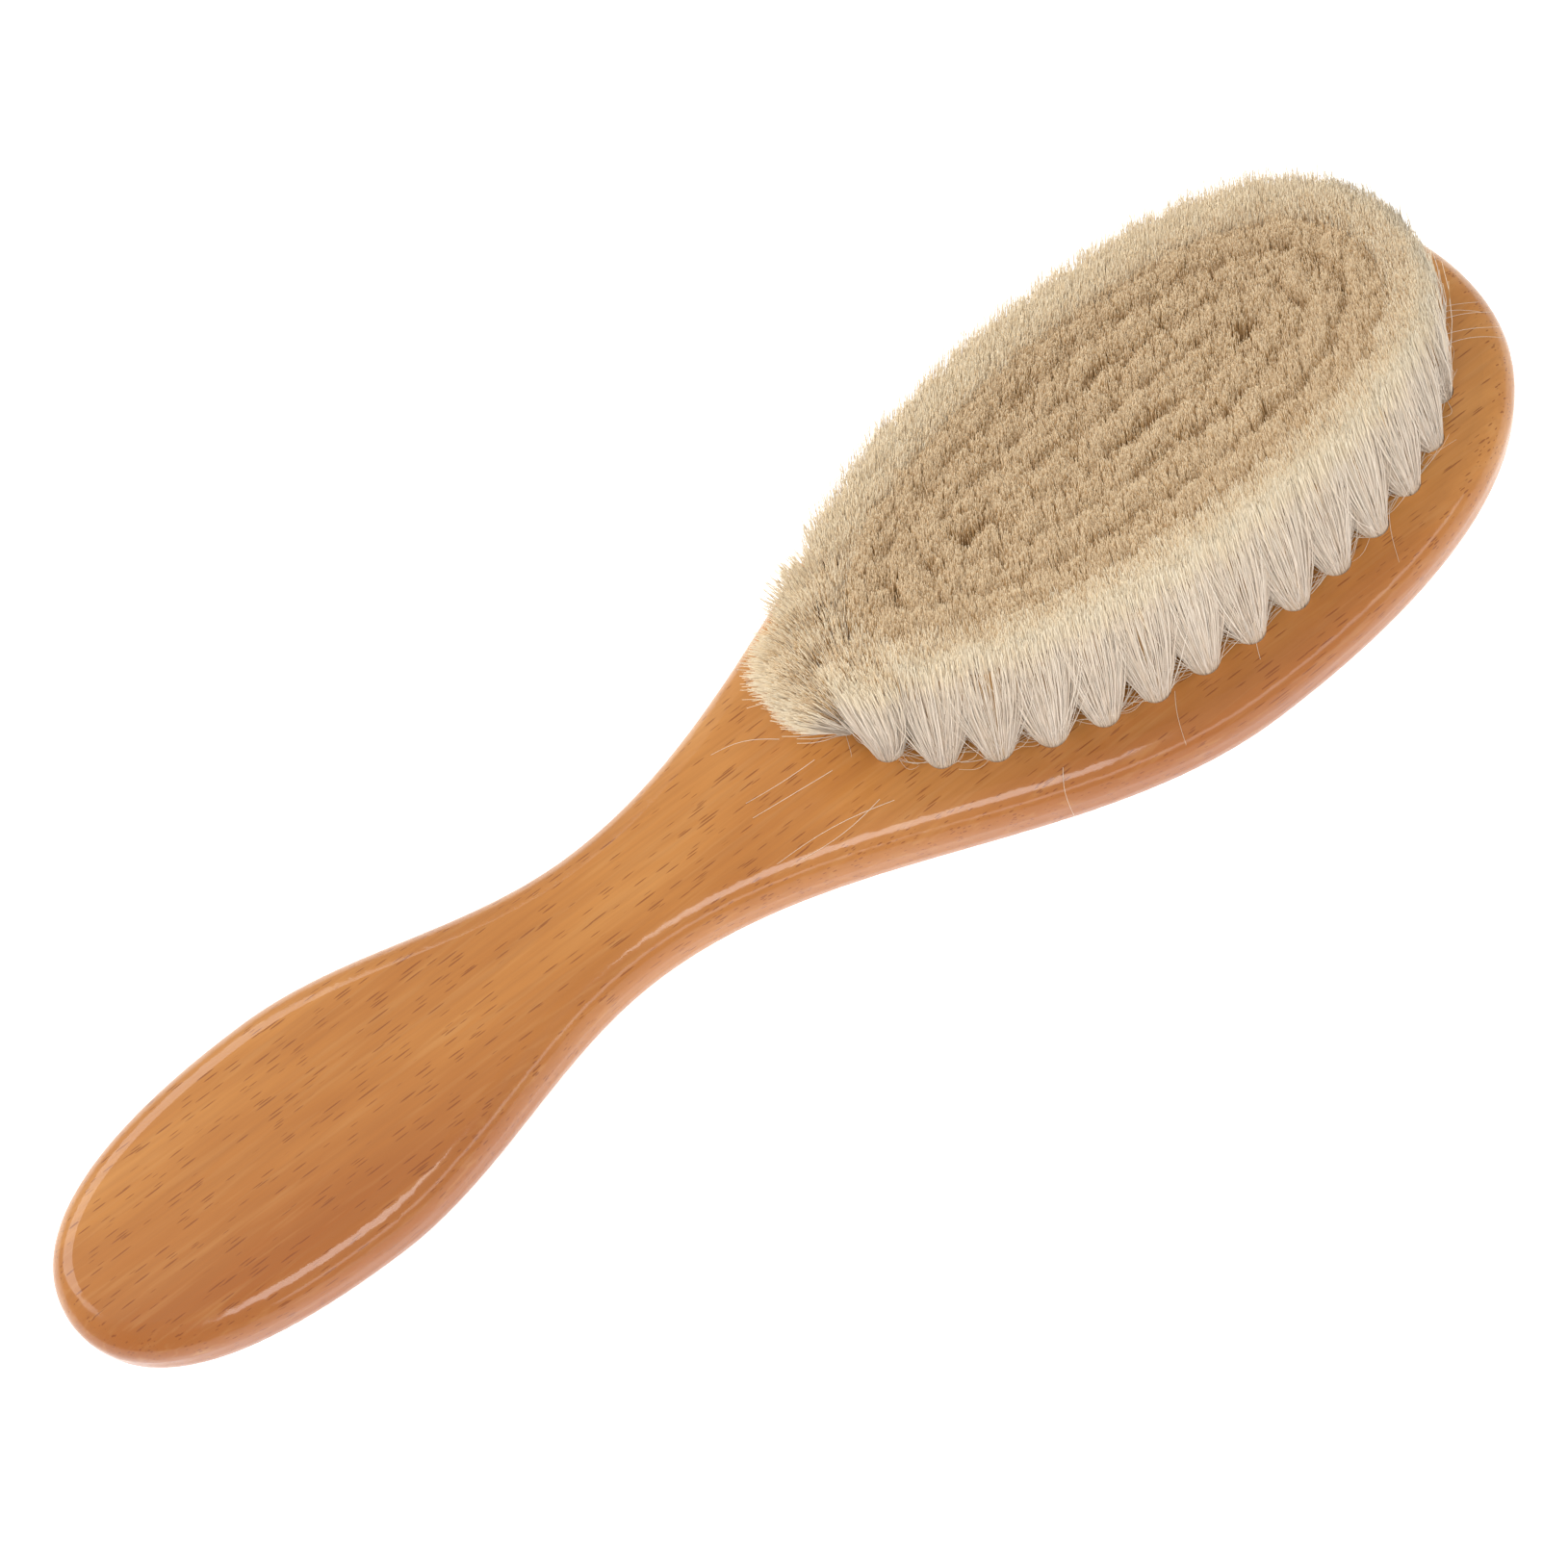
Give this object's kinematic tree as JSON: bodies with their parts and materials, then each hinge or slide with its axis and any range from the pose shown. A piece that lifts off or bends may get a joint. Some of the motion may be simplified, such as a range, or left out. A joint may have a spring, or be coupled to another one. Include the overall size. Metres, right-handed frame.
{
  "type": "clothes brush",
  "caption": "Long-handled clothes brush: one-piece beech paddle handle with tufts of soft goat hair set in drilled holes, lying on its back.",
  "frame": {"origin": "under the middle of the brush's length and width, on the surface that its back lies on", "axes": "+X from the tail of the grip to the tip of the head, +Z the way the hair stands, Y across the head"},
  "size_m": [0.25, 0.073, 0.0365],
  "materials": {
    "handle_wood": "steamed beech under a clear semi-gloss lacquer",
    "goat_hair": "white to beige goat hair, trimmed flat",
    "anchor_wire": "flat bright steel wire"
  },
  "bodies": {
    "root": {"anchors_row_1": "anchor_wire", "anchors_row_2": "anchor_wire", "anchors_row_3": "anchor_wire", "anchors_row_4": "anchor_wire", "anchors_row_5": "anchor_wire", "handle_body": "handle_wood", "tuft_outer_01": "goat_hair", "tuft_outer_02": "goat_hair", "tuft_outer_03": "goat_hair", "tuft_outer_04": "goat_hair", "tuft_outer_05": "goat_hair", "tuft_outer_06": "goat_hair", "tuft_outer_07": "goat_hair", "tuft_outer_08": "goat_hair", "tuft_outer_09": "goat_hair", "tuft_outer_10": "goat_hair", "tuft_outer_11": "goat_hair", "tuft_outer_12": "goat_hair", "tuft_outer_13": "goat_hair", "tuft_outer_14": "goat_hair", "tuft_outer_15": "goat_hair", "tuft_outer_16": "goat_hair", "tuft_outer_17": "goat_hair", "tuft_outer_18": "goat_hair", "tuft_outer_19": "goat_hair", "tuft_outer_20": "goat_hair", "tuft_outer_21": "goat_hair", "tuft_outer_22": "goat_hair", "tuft_outer_23": "goat_hair", "tuft_outer_24": "goat_hair", "tuft_outer_25": "goat_hair", "tuft_outer_26": "goat_hair", "tuft_outer_27": "goat_hair", "tuft_outer_28": "goat_hair", "tuft_outer_29": "goat_hair", "tuft_outer_30": "goat_hair", "tuft_outer_31": "goat_hair", "tuft_outer_32": "goat_hair", "tufts_row_2": "goat_hair", "tufts_row_3": "goat_hair", "tufts_row_4": "goat_hair", "tufts_row_5": "goat_hair"}
  },
  "joints": []
}
